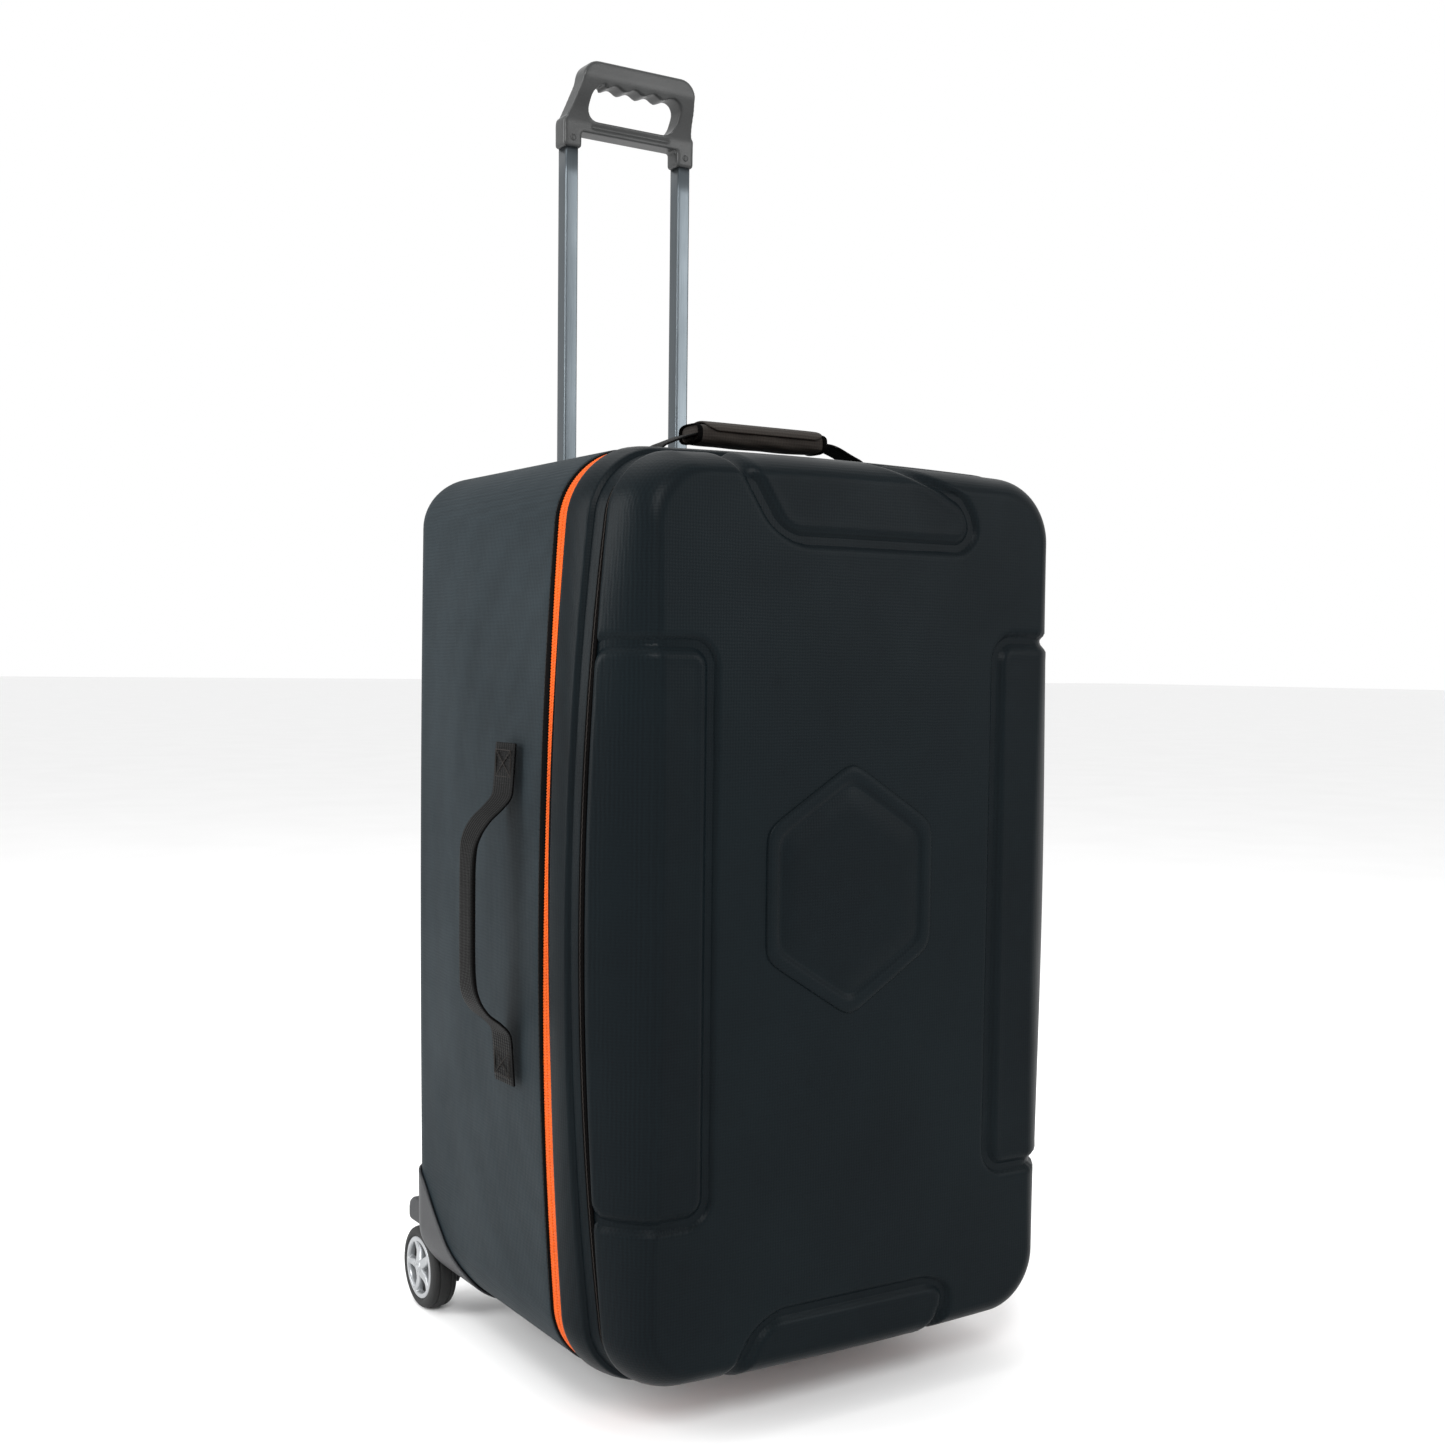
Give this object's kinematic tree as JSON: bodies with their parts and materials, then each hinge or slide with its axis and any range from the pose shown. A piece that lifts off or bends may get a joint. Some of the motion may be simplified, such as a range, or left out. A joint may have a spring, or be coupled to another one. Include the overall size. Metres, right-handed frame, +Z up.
{
  "type": "wheeled equipment case",
  "caption": "Tall wheeled equipment case with a moulded rear tray, a domed lid on a fabric hinge, a perimeter zip, a telescopic pull handle, a padded top handle and a webbing side strap.",
  "frame": {"origin": "centre of the bounding box at floor level, under the case", "axes": "+Z up, +X to the right seen from the front, the lid faces -Y and the wheels are at +Y"},
  "size_m": [0.5322, 0.4642, 1.2185],
  "materials": {
    "shell_fabric": "woven polyester laminated on a moulded EVA shell, blue grey",
    "lid_fabric": "smooth coated polyester on a moulded EVA dome, near black",
    "lining": "foam with a brushed lining",
    "board": "pressed polypropylene board",
    "zip_orange": "orange coil zip chain",
    "zip_tape": "black woven binding tape",
    "webbing": "black polypropylene webbing",
    "wrap_fabric": "grey brown padded nylon",
    "moulded_grey": "moulded warm grey plastic",
    "grip_plastic": "moulded grey plastic, fine texture",
    "tube_metal": "gunmetal anodised",
    "guide_metal": "plain extruded",
    "steel": "zinc plated",
    "tyre_rubber": "dark grey rubber",
    "hub_plastic": "silver painted plastic",
    "slider_metal": "black lacquered die cast zinc"
  },
  "bodies": {
    "case": {"rear_shell": "shell_fabric", "back_board": "board", "rear_lining": "lining", "rear_zip_chain": "zip_orange", "rear_zip_tape": "zip_tape", "hinge_leaf_rear": "webbing", "handle_bezel": "moulded_grey", "guide_bracket": "moulded_grey", "guide_tube_left": "guide_metal", "wheel_housing_left": "moulded_grey", "wheel_axle_left": "steel", "foot_left": "moulded_grey", "top_handle_tab_left": "webbing", "top_handle_end_left": "webbing", "guide_tube_right": "guide_metal", "wheel_housing_right": "moulded_grey", "wheel_axle_right": "steel", "foot_right": "moulded_grey", "top_handle_tab_right": "webbing", "top_handle_end_right": "webbing", "side_strap_tab_upper": "webbing", "side_strap_tab_lower": "webbing", "side_strap_end_upper": "webbing", "side_strap_end_lower": "webbing"},
    "lid": {"lid_shell": "lid_fabric", "lid_lining": "lining", "lid_zip_chain": "zip_orange", "lid_zip_tape": "zip_tape", "hinge_leaf_lid": "webbing"},
    "pull_handle": {"grip": "grip_plastic", "inner_tube_left": "tube_metal", "slide_shoe_left": "moulded_grey", "grip_rivet_left": "steel", "inner_tube_right": "tube_metal", "slide_shoe_right": "moulded_grey", "grip_rivet_right": "steel"},
    "release": {"release_button": "moulded_grey", "release_rod_left": "steel", "release_rod_right": "steel"},
    "lock_pin_left": {"lock_pin_left": "steel"},
    "lock_pin_right": {"lock_pin_right": "steel"},
    "wheel_left": {"tyre_left": "tyre_rubber", "wheel_hub_left": "hub_plastic", "hub_cap_left": "hub_plastic"},
    "wheel_right": {"tyre_right": "tyre_rubber", "wheel_hub_right": "hub_plastic", "hub_cap_right": "hub_plastic"},
    "slider_upper": {"zip_slider_upper": "slider_metal"},
    "slider_lower": {"zip_slider_lower": "slider_metal"},
    "pull_tab_upper": {"zip_pull_upper": "slider_metal"},
    "pull_tab_lower": {"zip_pull_lower": "slider_metal"},
    "top_handle": {"top_handle_webbing": "webbing", "top_handle_wrap": "wrap_fabric"},
    "handle_flap": {"top_handle_flap": "wrap_fabric"},
    "side_strap": {"side_strap": "webbing"}
  },
  "joints": [
    {"name": "lid_hinge", "type": "hinge", "parent": "case", "child": "lid", "pos_m": [0.26615, -0.13918, 0.425], "axis": [0, 0, 1], "range_deg": [0, 105]},
    {"name": "handle_slide", "type": "slide", "parent": "case", "child": "pull_handle", "axis": [0, 0, 1], "range_m": [-0.335, 0]},
    {"name": "release_press", "type": "slide", "parent": "pull_handle", "child": "release", "axis": [0, 0, -1], "range_m": [0, 0.0025], "stiffness_N_per_m": 900, "springref_m": -0.003},
    {"name": "lock_pin_left_retract", "type": "slide", "parent": "pull_handle", "child": "lock_pin_left", "axis": [1, 0, 0], "range_m": [0, 0.002]},
    {"name": "lock_pin_right_retract", "type": "slide", "parent": "pull_handle", "child": "lock_pin_right", "axis": [-1, 0, 0], "range_m": [0, 0.002]},
    {"name": "wheel_left_spin", "type": "hinge", "parent": "case", "child": "wheel_left", "pos_m": [-0.18685, 0.19207, 0.04], "axis": [1, 0, 0], "continuous": true},
    {"name": "wheel_right_spin", "type": "hinge", "parent": "case", "child": "wheel_right", "pos_m": [0.21915, 0.19207, 0.04], "axis": [1, 0, 0], "continuous": true},
    {"name": "slider_upper_slide", "type": "slide", "parent": "case", "child": "slider_upper", "axis": [-0.0702, 0, 0.9975], "range_m": [0, 0.045]},
    {"name": "pull_tab_upper_swing", "type": "hinge", "parent": "slider_upper", "child": "pull_tab_upper", "pos_m": [0.25934, -0.13918, 0.6874], "axis": [0, -1, 0], "range_deg": [0, 110]},
    {"name": "slider_lower_slide", "type": "slide", "parent": "case", "child": "slider_lower", "axis": [0.052, 0, -0.9986], "range_m": [0, 0.045]},
    {"name": "pull_tab_lower_swing", "type": "hinge", "parent": "slider_lower", "child": "pull_tab_lower", "pos_m": [0.26118, -0.13918, 0.6574], "axis": [0, -1, 0], "range_deg": [0, 110]},
    {"name": "top_handle_swing", "type": "hinge", "parent": "case", "child": "top_handle", "pos_m": [0.01615, -0.06918, 0.81033], "axis": [1, 0, 0], "range_deg": [-33, 33]},
    {"name": "handle_flap_lift", "type": "hinge", "parent": "top_handle", "child": "handle_flap", "pos_m": [0.01615, -0.05568, 0.84454], "axis": [-1, 0, 0], "range_deg": [0, 140]},
    {"name": "side_strap_swing", "type": "hinge", "parent": "case", "child": "side_strap", "pos_m": [-0.23015, -0.06918, 0.4235], "axis": [0, 0, 1], "range_deg": [-40, 40]}
  ],
  "couplings": [
    {"joint": "lock_pin_left_retract", "follows": "release_press", "ratio": 0.8},
    {"joint": "lock_pin_right_retract", "follows": "release_press", "ratio": 0.8}
  ]
}
